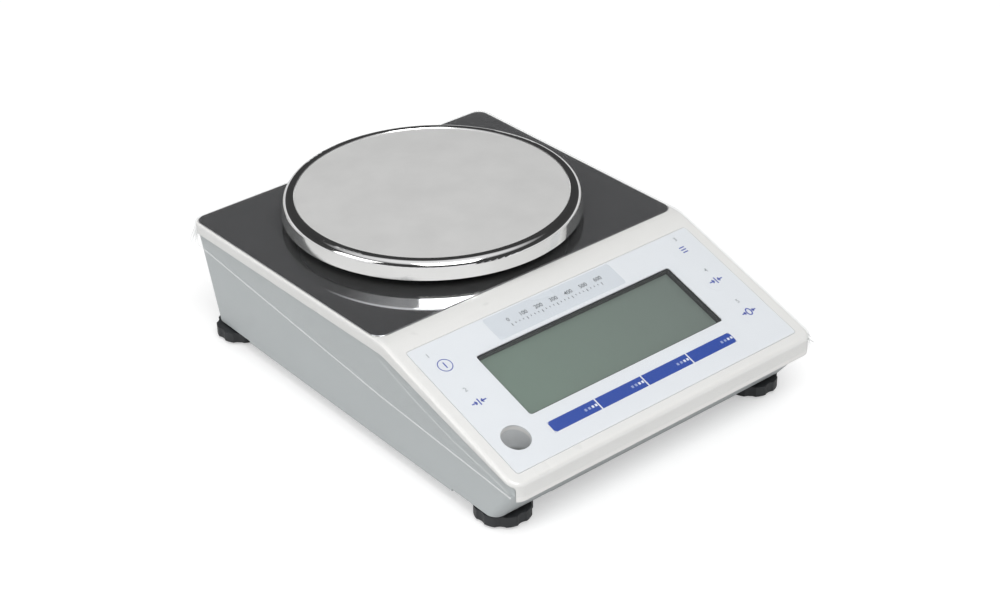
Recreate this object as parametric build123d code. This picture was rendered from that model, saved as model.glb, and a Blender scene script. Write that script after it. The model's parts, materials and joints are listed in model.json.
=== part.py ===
from build123d import *
import math
import os

os.makedirs("parts", exist_ok=True)

# A compact electronic balance with a round pan, a sloping key panel and four levelling feet.
# X runs to the right seen from the front, the front faces -Y, and the feet stand on Z = 0.
# The origin is under the middle of the whole outline, ears included. Sizes are in millimetres and degrees.

# Driving sizes of the case
case_width = 174.6
case_depth = 230.6
deck_height = 60.0
case_corner_radius = 6.0
case_edge_radius = 1.7
deck_run = 144.8
panel_slope = 18.3
bend_radius = 30.0
fascia_height = 8.3
shell_wall = 2.2

# The joint between the white upper shell and the grey tray
seam_drop_rear = 4.3
seam_drop_bend = 6.0
seam_drop_nose = 2.0
seam_gap = 0.4
fascia_wall = 1.6

# Driving sizes of the grey tray
tray_clearance = 6.2
tray_wall = 2.5
tray_side_inset = 0.4
tray_rear_draft = 5.8
tray_front_draft = 13.6
tray_side_draft_rear = 5.0
tray_side_draft_front = 1.0
tray_corner_radius = 5.0
foot_relief = 1.0
foot_relief_reach = 19.0
lip_fit = 0.2
lip_wall = 1.5
lip_height = 2.5
lip_root = 3.0

# The mirror plate round the pan
plate_width = 172.4
plate_depth = 140.6
plate_thickness = 1.0
plate_corner_radius = 5.5
plate_edge_radius = 0.5
plate_proud = 0.2
plate_rear_margin = 0.8
plate_hole_radius = 17.0
plate_fit = 0.2

# The pan and what carries it
pan_radius = 70.0
pan_floor_radius = 63.5
pan_thickness = 0.8
pan_top_gap = 12.2
pan_skirt_gap = 4.6
pan_step = 0.4
pan_bead_radius = 3.2
pan_skirt_flare = 1.6
pan_offset = 0.5
support_ring_radius = 46.0
support_ring_width = 8.0
support_arm_width = 11.0
support_thickness = 2.5
support_hub_radius = 11.0
support_hub_height = 6.0
support_hub_cap = 1.0
cushion_radius = 4.5
cushion_height = 3.6
post_radius = 6.0
post_fit = 0.05
weighing_travel = 0.3
stop_clearance = 0.1

# The force sensor under the pan
sensor_width = 26.0
sensor_height = 24.0
sensor_length = 104.0
sensor_wall = 3.0
sensor_clamp = 20.0
sensor_floor_height = 22.0
sensor_slot = 1.6
flexure_radius = 4.2
arm_thickness = 6.0
arm_gap = 3.0
arm_width = 22.0
bridge_width = 46.0
bridge_length = 124.0
bridge_thickness = 5.0
bridge_pad_height = 2.5
bridge_pad_radius = 5.0
fork_length = 46.0
fork_width = 7.0
fork_thickness = 1.2
fork_slot_width = 2.0
stop_screw_radius = 2.5
stop_nut_radius = 4.4
stop_nut_height = 3.0
stop_spacing = 15.0

# The printed sheet and the keys on the sloping panel
sheet_width = 162.6
sheet_length = 75.3
sheet_thickness = 0.5
sheet_corner_radius = 1.5
sheet_run = 41.0
sheet_fit = 0.15
window_width = 112.0
window_length = 36.9
window_offset = 2.9
window_corner_radius = 1.2
window_thickness = 1.0
display_depth = 3.2
display_frame_wall = 1.4
display_glass_thickness = 2.2
key_radius = 6.4
key_fit = 0.1
key_travel = 0.35
key_flange = 1.0
key_flange_height = 1.0
key_stem_width = 3.0
key_column = 70.7
left_key_places = (23.9, 0.7)
right_key_places = (26.6, 4.5, -17.6)
bar_key_count = 4
bar_key_pitch = 26.7
bar_key_gap = 0.9
bar_key_height = 5.9
bar_key_place = -25.4
dome_width = 6.0
dome_height = 0.7
board_thickness = 1.6
display_board_depth = 8.0
display_board_width = 157.0
display_board_length = 66.0
display_post_column = 48.0
display_post_inset = 4.5
level_post_gap = 12.4

# The round spirit level in its well
level_column = -69.4
level_place = -22.2
level_radius = 6.6
well_wall = 1.2
well_clearance = 1.6
well_depth = 16.0
vial_height = 6.0
vial_wall = 0.8
vial_fit = 0.1
bubble_radius = 2.2
bubble_height = 0.8
liquid_depth = 3.6

# The clear film cover over the shell
cover_gap = 0.3
cover_wall = 0.5
cover_hole_radius = 40.0
cover_rim_rear = 50.0
cover_rim_bend = 33.4
cover_rim_nose = 26.6
cover_rim_height = 1.0
cover_rim_flare = 0.5
ear_reach = 2.6
ear_height = 7.0
ear_root = 2.1

# The levelling feet
foot_column = 73.4
foot_front_run = 24.2
foot_rear_run = 15.1
foot_pad_radius = 10.0
foot_pad_height = 1.2
knob_radius = 12.6
knob_height = 4.9
knob_scallops = 8
knob_scallop_depth = 0.9
knob_scallop_radius = 5.0
stud_radius = 3.0
stud_height = 18.6
stud_head_radius = 5.0
stud_head_height = 2.4
thread_fit = 0.06
insert_radius = 5.2
foot_boss_wall = 2.2
foot_boss_top = 19.0

# The case screws, which come up from below
screw_column = 76.0
screw_places = (-25.0, 76.0)
screw_radius = 1.5
screw_head_radius = 2.8
screw_head_height = 2.0
screw_fit = 0.3
screw_length = 22.0
screw_boss_radius = 5.0
screw_split_height = 32.0
screw_ledge = 3.0
pilot_fit = 0.05

# The main board and the sockets at the rear
main_board_width = 40.0
main_board_length = 108.0
main_board_centre = 45.0
main_board_height = 15.0
main_board_rear_gap = 4.0
board_post_radius = 3.0
board_screw_radius = 1.2
board_screw_head_radius = 2.2
board_screw_head_height = 1.4
board_screw_length = 5.0
board_screw_inset = 4.0
board_rail_width = 4.0
chip_width = 13.4
chip_height = 2.4
jack_centre = 31.0
jack_width = 9.0
jack_height = 11.0
jack_length = 14.0
jack_hole_radius = 3.1
jack_hole_depth = 9.5
jack_pin_radius = 1.05
port_centre = 53.0
port_shell_width = 17.0
port_shell_height = 8.4
port_shell_lean = 10.0
port_shell_reach = 3.4
port_flange_width = 30.8
port_flange_height = 12.4
port_flange_thickness = 1.0
port_shell_corner = 1.5
port_shell_wall = 0.5
port_pin_floor = 1.2
port_pin_length = 4.0
port_pin_width = 0.9
port_pin_pitch = 2.74
port_body_depth = 9.0
port_screw_spacing = 25.0
port_screw_radius = 1.5
port_nut_radius = 2.7
port_nut_height = 3.0
port_opening_fit = 0.4
ribbon_width = 20.0
ribbon_thickness = 0.6
ribbon_plug_length = 4.0
ribbon_plug_height = 4.0

# Places worked out from the driving sizes
slope = math.radians(panel_slope)
case_centre = (cover_rim_flare - ear_reach) / 2
front_face = case_centre - case_depth / 2
rear_face = case_centre + case_depth / 2
bend_place = rear_face - deck_run
far = case_width + case_depth


def panel_height(place):
    """Height of the sloping panel's top surface at a distance along Y."""
    return deck_height + (place - bend_place) * math.tan(slope)


fascia_bottom = panel_height(front_face) - fascia_height
sheet_place = front_face + sheet_run
panel = Plane(
    origin=(0, sheet_place, panel_height(sheet_place)),
    x_dir=(1, 0, 0),
    z_dir=(0, -math.sin(slope), math.cos(slope)),
)
plate_rear = rear_face - plate_rear_margin
plate_centre = plate_rear - plate_depth / 2
plate_top = deck_height + plate_proud
pan_place = plate_centre + pan_offset
pan_top = plate_top + pan_top_gap
pan_underside = pan_top - pan_thickness
support_top = pan_underside - cushion_height
foot_places = {
    "fl": (-foot_column, front_face + foot_front_run),
    "fr": (foot_column, front_face + foot_front_run),
    "rl": (-foot_column, rear_face - foot_rear_run),
    "rr": (foot_column, rear_face - foot_rear_run),
}
screw_points = [(side * screw_column, place) for side in (-1, 1) for place in screw_places]
knob_top = foot_pad_height + knob_height
tray_floor = tray_clearance + tray_wall
knob_room = tray_clearance + foot_relief
bridge_bottom = tray_floor + bridge_pad_height
sensor_rear = pan_place + sensor_length / 2
sensor_front = sensor_rear - sensor_length
sensor_top = sensor_floor_height + sensor_height
key_flange_top = -shell_wall
board_top = -display_board_depth
port_height = main_board_height + board_thickness + jack_height / 2


def rod(radius, bottom, top, place=(0, 0)):
    """An upright cylinder between two heights."""
    centre = (place[0], place[1], bottom)
    return Location(centre) * Cylinder(radius, top - bottom, align=(Align.CENTER, Align.CENTER, Align.MIN))


def hex_rod(radius, bottom, top, place=(0, 0)):
    """An upright hexagon bar between two heights, which small screws and their holes are drawn with."""
    return Location((place[0], place[1], bottom)) * extrude(RegularPolygon(radius, 6), amount=top - bottom)


def slab(width, length, bottom, top, place=(0, 0), radius=0.0):
    """An upright block between two heights, with rounded corners where a radius is given."""
    outline = RectangleRounded(width, length, radius) if radius > 0 else Rectangle(width, length)
    return Location((place[0], place[1], bottom)) * extrude(outline, amount=top - bottom)


def group(pieces):
    """Several separate solids held in one node."""
    return Compound(children=[solid for piece in pieces for solid in piece.solids()])


def side_prism(points, half_width=far, fillets=()):
    """A shape seen from the side, drawn as (y, z) points, made as wide as asked."""
    face = make_face(Polyline(*points, close=True))
    for corner, radius in fillets:
        near = face.vertices().sort_by_distance((corner[0], corner[1], 0))[0]
        face = fillet(near, radius)
    return extrude(Plane.YZ * face, amount=half_width, both=True)


def case_block(grow, bottom=0.0):
    """The case's outer form, grown or shrunk on every side, closed down to a height."""
    front = front_face - grow
    rear = rear_face + grow
    deck = deck_height + grow
    lift = grow / math.cos(slope)
    bend = bend_place + (grow - lift) / math.tan(slope)
    nose = panel_height(front) + lift
    points = [(rear, bottom), (rear, deck), (bend, deck), (front, nose), (front, bottom)]
    side = side_prism(points, fillets=[((bend, deck), bend_radius + grow)])
    plan = slab(
        case_width + 2 * grow,
        case_depth + 2 * grow,
        bottom,
        deck + shell_wall,
        (0, case_centre),
        case_corner_radius + grow,
    )
    return side & plan


def round_top_rim(block, radius):
    """Rounds the whole edge where the top surfaces meet the upright faces."""
    tops = [face for face in block.faces() if face.normal_at().Z > 0.3]
    counts = {}
    for face in tops:
        for edge in face.edges():
            key = tuple(round(value, 3) for value in edge.center())
            counts.setdefault(key, []).append(edge)
    rim = [edges[0] for edges in counts.values() if len(edges) == 1]
    return fillet(rim, radius)


def seam_line(shift):
    """The seam seen from the side, as (y, z) points from the rear to the nose, moved down by shift."""
    step = front_face + fascia_wall + shift
    return [
        (rear_face + far, deck_height - seam_drop_rear - shift),
        (bend_place, deck_height - seam_drop_bend - shift),
        (step, panel_height(step) - seam_drop_nose - shift),
    ]


def above_seam():
    """Everything above the seam, and the fascia in front of it."""
    line = seam_line(0)
    step = line[-1][0]
    points = line + [
        (step, fascia_bottom),
        (front_face - far, fascia_bottom),
        (front_face - far, far),
        (rear_face + far, far),
    ]
    return side_prism(points, fillets=[(line[1], bend_radius), (line[2], fascia_wall)])


def below_seam(shift):
    """Everything below the seam and behind the fascia."""
    line = seam_line(shift)
    step = line[-1][0]
    points = line + [(step, -far), (rear_face + far, -far)]
    return side_prism(points, fillets=[(line[1], bend_radius), (line[2], fascia_wall)])


def rear_wall_outside(height):
    """Where the tray's rear wall has its outer face at a height."""
    share = (deck_height - height) / (deck_height - tray_clearance)
    return rear_face - tray_side_inset - share * tray_rear_draft


def tray_section(height, inset):
    """The tray's outline at one height, moved inwards by inset and then with plain corners."""
    share = (deck_height - height) / (deck_height - tray_clearance)
    side = case_width / 2 - tray_side_inset - inset
    front_half = side - share * tray_side_draft_front
    rear_half = side - share * tray_side_draft_rear
    slant = tray_front_draft / (fascia_bottom - tray_clearance)
    front = front_face + fascia_wall + seam_gap + slant * (fascia_bottom - height) + inset
    rear = rear_wall_outside(height) - inset
    outline = Polyline(
        (-front_half, front), (front_half, front), (rear_half, rear), (-rear_half, rear), close=True
    )
    face = make_face(outline)
    if inset == 0:
        face = fillet(face.vertices(), tray_corner_radius)
    return Location((0, 0, height)) * face


def tray_block(bottom, inset):
    """The tray's tapering form from a height up to the deck, before the seam is cut."""
    return loft([tray_section(bottom, inset), tray_section(deck_height, inset)], ruled=True)


def seam_lip():
    """The thin lip on the tray that stands up inside the shell's wall all round the seam."""
    inset = shell_wall + lip_fit + lip_wall
    inside = slab(
        case_width - 2 * inset,
        case_depth - 2 * inset,
        0,
        far,
        (0, case_centre),
        case_corner_radius - inset,
    )
    band = below_seam(-lip_height) - below_seam(lip_root)
    return (case_block(-shell_wall - lip_fit, fascia_bottom) & band) - inside


def lower_case():
    """The grey tray: tapering walls, reliefs over the feet, bosses, board posts and rear openings."""
    outer = tray_block(tray_clearance, 0)
    inner = tray_block(tray_floor, tray_wall)
    inside_plan = slab(
        case_width - 2 * tray_side_inset,
        case_depth - 2 * tray_side_inset,
        0,
        deck_height,
        (0, case_centre),
        case_corner_radius - tray_side_inset,
    )
    tray = (outer - inner) & below_seam(seam_gap) & inside_plan
    tray += seam_lip()
    added = []
    for place in foot_places.values():
        added.append(rod(insert_radius + foot_boss_wall, knob_room, foot_boss_top, place))
    for place in screw_points:
        added.append(rod(screw_boss_radius, tray_clearance + tray_wall / 2, screw_split_height, place))
    for _, place in bridge_points()[:2]:
        added.append(slab(bridge_width, 2 * bridge_pad_radius, tray_clearance, bridge_bottom, (0, place)))
    for place in main_board_points():
        added.append(rod(board_post_radius, tray_clearance + tray_wall / 2, main_board_height, place))
    rail = (main_board_centre, main_board_rear() - board_screw_inset)
    added.append(slab(main_board_width, board_rail_width, tray_clearance, main_board_height, rail))
    for piece in added:
        tray += piece & outer
    for place in foot_places.values():
        outwards = far / 2 - foot_relief_reach
        centre = [value + math.copysign(outwards, value) for value in place]
        tray -= slab(far, far, 0, knob_room, centre)
        tray -= insert_blank(place)
    for place in screw_points:
        head_top = screw_split_height - screw_ledge
        tray -= rod(screw_head_radius + screw_fit, 0, head_top, place)
        tray -= hex_rod(screw_radius + screw_fit, 0, screw_split_height, place)
    for place in bridge_points():
        tray -= hex_rod(board_screw_radius + pilot_fit, tray_floor, bridge_bottom, place)
    for place in main_board_points():
        tray -= hex_rod(board_screw_radius + pilot_fit, tray_floor, main_board_height, place)
    wall_zone = 4 * tray_wall + tray_rear_draft
    tray -= Location((port_centre, rear_face, port_height)) * Box(
        port_shell_width + 2 * port_opening_fit, wall_zone, port_shell_height + 2 * port_opening_fit
    )
    for side in (-1, 1):
        hole = Cylinder(port_nut_radius + port_opening_fit, wall_zone, rotation=(90, 0, 0))
        tray -= Location((port_centre + side * port_screw_spacing / 2, rear_face, port_height)) * hole
    tray -= Location((jack_centre, rear_face, port_height)) * Box(
        jack_width + 2 * port_opening_fit, wall_zone, jack_height + 2 * port_opening_fit
    )
    return tray


def bridge_points():
    """Where the sensor's bridge is screwed to the tray."""
    across = bridge_width / 2 - bridge_pad_radius
    along = bridge_length / 2 - bridge_pad_radius
    return [(x, pan_place + y) for x in (-across, across) for y in (-along, along)]


def main_board_rear():
    """The rear edge of the main board, just inside the tray's rear wall."""
    return rear_wall_outside(main_board_height) - tray_wall - main_board_rear_gap


def main_board_points():
    """Where the main board is screwed to its two front posts. Its rear rests on a rail."""
    across = main_board_width / 2 - board_screw_inset
    front = main_board_rear() - main_board_length + board_screw_inset
    return [(main_board_centre + x, front) for x in (-across, across)]


def panel_cut(width, length, top, bottom, place=(0, 0), radius=0.0):
    """A block set square to the sloping panel, between two depths under its surface."""
    return panel.location * slab(width, length, bottom, top, place, radius)


def panel_rod(radius, bottom, top, place):
    """A cylinder set square to the sloping panel."""
    return panel.location * rod(radius, bottom, top, place)


def round_key_points():
    """The round keys by name, each with its place on the panel."""
    names = ("key_power", "key_tare_left", "key_menu", "key_tare_right", "key_zero")
    places = [(-key_column, place) for place in left_key_places]
    places += [(key_column, place) for place in right_key_places]
    return dict(zip(names, places))


def bar_key_points():
    """The four bar keys by name, each with its place on the panel."""
    first = -(bar_key_count - 1) / 2 * bar_key_pitch
    return {
        f"key_function_{index + 1}": (first + index * bar_key_pitch, bar_key_place)
        for index in range(bar_key_count)
    }


def panel_holes(depth, grow):
    """The openings for the keys through the sheet or the panel."""
    holes = []
    for place in round_key_points().values():
        holes.append(panel_rod(key_radius + grow, -depth, shell_wall, place))
    for place in bar_key_points().values():
        width = bar_key_pitch - bar_key_gap + 2 * grow
        holes.append(panel_cut(width, bar_key_height + 2 * grow, shell_wall, -depth, place))
    return holes


def level_axis():
    """The level's centre on the panel's surface, as a point in the case."""
    return panel.from_local_coords(Vector(level_column, level_place, 0))


def display_board_points():
    """Where the display board is screwed to the posts under the panel."""
    along = display_board_length / 2 - display_post_inset
    right = display_board_width / 2 - board_screw_inset
    beside_level = level_column + level_post_gap
    return [
        (-display_post_column, along),
        (display_post_column, along),
        (beside_level, -along),
        (right, -along),
    ]


def upper_case():
    """The white shell: deck, sloping panel and fascia, with the seats and openings it carries."""
    shell = round_top_rim(case_block(0), case_edge_radius)
    cavity = case_block(-shell_wall)
    body = (shell - cavity) & above_seam()
    plate_seat = slab(
        plate_width + 2 * plate_fit,
        plate_depth + 2 * plate_fit,
        plate_top - plate_thickness,
        far,
        (0, plate_centre),
        plate_corner_radius + plate_fit,
    )
    for place in screw_points:
        body += rod(screw_boss_radius, screw_split_height, deck_height - shell_wall / 2, place)
    for place in display_board_points():
        body += panel_rod(board_post_radius, board_top, -shell_wall / 2, place)
    body -= plate_seat
    body -= rod(plate_hole_radius, 0, far, (0, pan_place))
    body -= panel_cut(
        sheet_width + 2 * sheet_fit,
        sheet_length + 2 * sheet_fit,
        shell_wall,
        -sheet_thickness,
        radius=sheet_corner_radius + sheet_fit,
    )
    body -= panel_cut(
        window_width + 2 * display_frame_wall + 2 * sheet_fit,
        window_length + 2 * display_frame_wall + 2 * sheet_fit,
        shell_wall,
        -display_board_depth,
        (0, window_offset),
    )
    for hole in panel_holes(2 * shell_wall, key_fit):
        body -= hole
    centre = level_axis()
    body -= rod(level_radius, 0, far, (centre.X, centre.Y))
    for place in screw_points:
        body -= hex_rod(screw_radius + pilot_fit, 0, deck_height - 2 * shell_wall, place)
    for place in display_board_points():
        body -= panel.location * hex_rod(board_screw_radius + pilot_fit, board_top, -1.5 * shell_wall, place)
    return body


def top_plate():
    """The polished plate let into the deck, with a rounded edge and a hole for the post."""
    bottom = plate_top - plate_thickness
    plate = slab(plate_width, plate_depth, bottom, plate_top, (0, plate_centre), plate_corner_radius)
    plate = fillet(plate.faces().sort_by(Axis.Z)[-1].edges(), plate_edge_radius)
    return plate - rod(plate_hole_radius, 0, far, (0, pan_place))


def weighing_pan():
    """The round pan, turned from one profile: flat floor, step, rolled bead and flared skirt."""
    shoulder = pan_radius - pan_skirt_flare
    bead_top = pan_top + pan_step
    bead_inner = pan_floor_radius + pan_step
    skirt_bottom = plate_top + pan_skirt_gap
    outer_corner = (shoulder, bead_top)
    inner_corner = (shoulder - pan_thickness, bead_top - pan_thickness)
    outline = Polyline(
        (0, pan_top),
        (pan_floor_radius, pan_top),
        (bead_inner, bead_top),
        outer_corner,
        (pan_radius, skirt_bottom),
        (pan_radius - pan_thickness, skirt_bottom),
        inner_corner,
        (bead_inner - pan_step, bead_top - pan_thickness),
        (pan_floor_radius - pan_step, pan_underside),
        (0, pan_underside),
        close=True,
    )
    profile = make_face(outline)
    for corner, radius in ((outer_corner, pan_bead_radius), (inner_corner, pan_bead_radius - pan_thickness)):
        near = profile.vertices().sort_by_distance((*corner, 0))[0]
        profile = fillet(near, radius)
    return Location((0, pan_place, 0)) * revolve(Plane.XZ * profile, Axis.Z)


def cushion_points():
    """Where the rubber cushions sit on the support's ring."""
    middle = support_ring_radius - support_ring_width / 2
    return [
        (middle * math.cos(math.radians(angle)), pan_place + middle * math.sin(math.radians(angle)))
        for angle in (45, 135, 225, 315)
    ]


def pan_support():
    """The carrier under the pan: a ring on four arms with a hub that sits on the post."""
    bottom = support_top - support_thickness
    ring = rod(support_ring_radius, bottom, support_top, (0, pan_place))
    ring -= rod(support_ring_radius - support_ring_width, bottom, support_top, (0, pan_place))
    reach = 2 * support_ring_radius - support_ring_width
    arm = slab(reach, support_arm_width, bottom, support_top)
    arms = Rotation(0, 0, 45) * arm + Rotation(0, 0, -45) * arm
    carrier = ring + Location((0, pan_place, 0)) * arms
    carrier += rod(support_hub_radius, support_top - support_hub_height, support_top, (0, pan_place))
    carrier -= rod(post_radius + post_fit, 0, support_top - support_hub_cap, (0, pan_place))
    return carrier


def pan_cushions():
    """Four rubber cushions on the support's ring."""
    return group([rod(cushion_radius, support_top, pan_underside, place) for place in cushion_points()])


def load_arm():
    """The arm bolted to the sensor's moving end, with the post that stands up through the deck."""
    arm_bottom = sensor_top + arm_gap
    front = sensor_front - arm_thickness
    leg_bottom = sensor_floor_height + sensor_clamp / 2
    leg = slab(arm_width, arm_thickness, leg_bottom, arm_bottom, (0, front + arm_thickness / 2))
    length = pan_place + 2 * post_radius - front
    arm = slab(arm_width, length, arm_bottom, arm_bottom + arm_thickness, (0, front + length / 2))
    wing = slab(
        2 * stop_spacing + 4 * stop_screw_radius,
        4 * stop_screw_radius,
        arm_bottom,
        arm_bottom + arm_thickness,
        (0, pan_place),
    )
    post = rod(post_radius, arm_bottom, support_top - support_hub_cap, (0, pan_place))
    return leg + arm + wing + post


def force_sensor():
    """The sensor block: a parallel guide cut from one bar, thin at its four flexures."""
    middle = (sensor_front + sensor_rear) / 2
    block = slab(sensor_width, sensor_length, sensor_floor_height, sensor_top, (0, middle))
    inner_half = sensor_length / 2 - sensor_clamp
    thin = flexure_radius + 1.5 * sensor_slot
    for end in (-1, 1):
        for height in (sensor_floor_height + thin, sensor_top - thin):
            hole = Cylinder(flexure_radius, sensor_width, rotation=(0, 90, 0))
            block -= Location((0, middle + end * inner_half, height)) * hole
    for height in (sensor_floor_height + thin, sensor_top - thin):
        slot = Box(sensor_width, 2 * inner_half, sensor_slot)
        block -= Location((0, middle, height)) * slot
    window = Box(sensor_width, fork_length + 4 * sensor_wall, sensor_height - 2 * thin - 2 * sensor_wall)
    block -= Location((0, middle, sensor_floor_height + sensor_height / 2)) * window
    return block


def tuning_fork():
    """The steel fork whose pitch follows the load, held at both ends in the block's window."""
    middle = (sensor_front + sensor_rear) / 2
    length = fork_length + 4 * sensor_wall
    centre = (0, middle, sensor_floor_height + sensor_height / 2)
    fork = Location(centre) * Box(fork_width, length, fork_thickness)
    return fork - Location(centre) * Box(fork_slot_width, fork_length, fork_thickness)


def sensor_bridge():
    """The cast bridge that holds the sensor's fixed end above the tray."""
    top = bridge_bottom + bridge_thickness
    plate = slab(bridge_width, bridge_length, bridge_bottom, top, (0, pan_place), bridge_pad_radius)
    riser = slab(
        sensor_width, sensor_clamp, top, sensor_floor_height, (0, sensor_rear - sensor_clamp / 2)
    )
    bridge = plate + riser
    for side in (-1, 1):
        bridge += rod(stop_nut_radius, top, sensor_floor_height, (side * stop_place(), pan_place))
        bridge -= rod(stop_screw_radius, bridge_bottom, sensor_floor_height, (side * stop_place(), pan_place))
    for place in bridge_points():
        bridge -= hex_rod(board_screw_radius + screw_fit, bridge_bottom, top, place)
    return bridge


def stop_place():
    """Distance of an overload stop from the middle of the sensor."""
    return stop_spacing + stop_screw_radius


def overload_stops():
    """Two set screws with lock nuts that stop the arm when the pan is overloaded."""
    top = sensor_top + arm_gap - weighing_travel - stop_clearance
    pieces = []
    for side in (-1, 1):
        place = (side * stop_place(), pan_place)
        screw = rod(stop_screw_radius, bridge_bottom, top, place)
        nut = hex_rod(stop_nut_radius, sensor_floor_height, sensor_floor_height + stop_nut_height, place)
        pieces.append(screw + nut)
    return group(pieces)


def panel_sheet():
    """The printed sheet let into the panel, open at the window, the level and the keys."""
    sheet = panel_cut(sheet_width, sheet_length, 0, -sheet_thickness, radius=sheet_corner_radius)
    sheet -= panel_cut(
        window_width + 2 * sheet_fit,
        window_length + 2 * sheet_fit,
        shell_wall,
        -shell_wall,
        (0, window_offset),
        window_corner_radius + sheet_fit,
    )
    for hole in panel_holes(shell_wall, key_fit):
        sheet -= hole
    sheet -= panel_rod(level_radius, -shell_wall, shell_wall, (level_column, level_place))
    return sheet


def display_window():
    """The clear window flush with the sheet."""
    return panel_cut(
        window_width, window_length, 0, -window_thickness, (0, window_offset), window_corner_radius
    )


def display_frame():
    """The dark frame that carries the window and the display glass down to the board."""
    outer_width = window_width + 2 * display_frame_wall
    outer_length = window_length + 2 * display_frame_wall
    frame = panel_cut(outer_width, outer_length, -sheet_thickness, board_top, (0, window_offset))
    frame -= display_window()
    ledge = display_frame_wall / 2
    frame -= panel_cut(
        window_width - 2 * ledge, window_length - 2 * ledge, 0, -display_depth, (0, window_offset)
    )
    frame -= panel_cut(
        window_width, window_length, -display_depth, board_top, (0, window_offset)
    )
    return frame


def display_glass():
    """The liquid crystal glass under the window."""
    bottom = -display_depth - display_glass_thickness
    return panel_cut(window_width, window_length, -display_depth, bottom, (0, window_offset))


def display_backlight():
    """The light guide between the display glass and the board."""
    top = -display_depth - display_glass_thickness
    return panel_cut(window_width, window_length, top, board_top, (0, window_offset))


def display_board():
    """The circuit board under the panel, with the corner by the level cut away."""
    board = panel_cut(display_board_width, display_board_length, board_top, board_top - board_thickness)
    room = level_radius + well_wall + well_clearance
    corner = (level_column + room - far / 4, level_place + room - far / 4)
    board -= panel_cut(far / 2, far / 2, board_top, board_top - board_thickness, corner)
    for place in display_board_points():
        hole = hex_rod(board_screw_radius + screw_fit, board_top - board_thickness, board_top, place)
        board -= panel.location * hole
    return board


def key_domes():
    """The snap domes on the board, one under each key."""
    pieces = []
    for place in list(round_key_points().values()) + list(bar_key_points().values()):
        base = panel_cut(dome_width, dome_width, board_top + dome_height / 2, board_top, place)
        crown = panel_cut(
            key_stem_width, key_stem_width, board_top + dome_height, board_top + dome_height / 2, place
        )
        pieces.append(base + crown)
    return group(pieces)


def key_body(cap, flange, place):
    """One key: its cap flush with the sheet, a flange under the panel and a stem over its dome."""
    stem_bottom = board_top + dome_height + key_travel + key_fit
    stem = panel_cut(key_stem_width, key_stem_width, key_flange_top - key_flange_height, stem_bottom, place)
    return cap + flange + stem


def round_key(place):
    """A round key."""
    cap = panel_rod(key_radius, key_flange_top, 0, place)
    flange_width = 2 * (key_radius + key_flange)
    flange = panel_cut(flange_width, flange_width, key_flange_top, key_flange_top - key_flange_height, place)
    return key_body(cap, flange, place)


def bar_key(place):
    """One key of the bar."""
    width = bar_key_pitch - bar_key_gap
    cap = panel_cut(width, bar_key_height, 0, key_flange_top, place)
    flange = panel_cut(
        width, bar_key_height + 2 * key_flange, key_flange_top, key_flange_top - key_flange_height, place
    )
    return key_body(cap, flange, place)


def level_well():
    """The upright tube that holds the spirit level under the panel."""
    centre = level_axis()
    place = (centre.X, centre.Y)
    bottom = centre.Z - well_depth
    tube = rod(level_radius + well_wall, bottom, deck_height, place)
    tube -= rod(level_radius, bottom + well_wall, deck_height, place)
    under_panel = panel_cut(far, far, -shell_wall, -far / 2)
    return tube & under_panel


def level_vial():
    """The clear vial of the level, hollow inside."""
    centre = level_axis()
    place = (centre.X, centre.Y)
    bottom = centre.Z - well_depth + well_wall
    outer = level_radius - vial_fit
    body = rod(outer, bottom, bottom + vial_height, place)
    return body - rod(outer - vial_wall, bottom + vial_wall, bottom + vial_height - vial_wall, place)


def level_liquid():
    """The liquid in the vial, with the bubble's hollow in its top."""
    centre = level_axis()
    bottom = centre.Z - well_depth + well_wall + vial_wall
    place = (centre.X, centre.Y)
    liquid = rod(level_radius - vial_fit - vial_wall, bottom, bottom + liquid_depth, place)
    return liquid - rod(bubble_radius, bottom + liquid_depth - bubble_height, bottom + liquid_depth, place)


def cover_rim_cut(shift):
    """Everything above the cover's lower rim, seen from the side and moved up by shift."""
    points = [
        (rear_face + far, cover_rim_rear + shift),
        (rear_face, cover_rim_rear + shift),
        (bend_place, cover_rim_bend + shift),
        (front_face, cover_rim_nose + shift),
        (front_face - far, cover_rim_nose + shift),
        (front_face - far, far),
        (rear_face + far, far),
    ]
    return side_prism(points)


def cover_ear(side):
    """The flared lip that stands out at a rear corner of the cover, to lift it by."""
    inner = case_corner_radius + cover_gap
    top = cover_rim_rear + ear_height
    outer_top = inner + cover_wall
    profile = make_face(
        Polyline(
            (inner, top),
            (outer_top, top),
            (outer_top + ear_reach, cover_rim_rear + cover_rim_height),
            (outer_top + ear_reach, cover_rim_rear),
            (inner + ear_root, cover_rim_rear),
            close=True,
        )
    )
    turn = revolve(Plane.XZ * profile, Axis.Z, revolution_arc=90)
    start = 0 if side > 0 else 90
    corner = (side * (case_width / 2 - case_corner_radius), rear_face - case_corner_radius, 0)
    return Location(corner) * (Rotation(0, 0, start) * turn)


def clear_cover():
    """The thin clear cover drawn over the shell, open round the pan, with a rim and two ears."""
    inner = case_block(cover_gap)
    outer = round_top_rim(case_block(cover_gap + cover_wall), case_edge_radius + cover_gap + cover_wall)
    cover = (outer - inner) & cover_rim_cut(0)
    lip = (case_block(cover_gap + cover_wall + cover_rim_flare) - inner) & cover_rim_cut(0)
    cover += lip - cover_rim_cut(cover_rim_height)
    for side in (-1, 1):
        cover += cover_ear(side)
    return cover - rod(cover_hole_radius, deck_height, far, (0, pan_place))


def foot_pad(place):
    """The rubber pad that stands on the table."""
    return rod(foot_pad_radius, 0, foot_pad_height, place)


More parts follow.
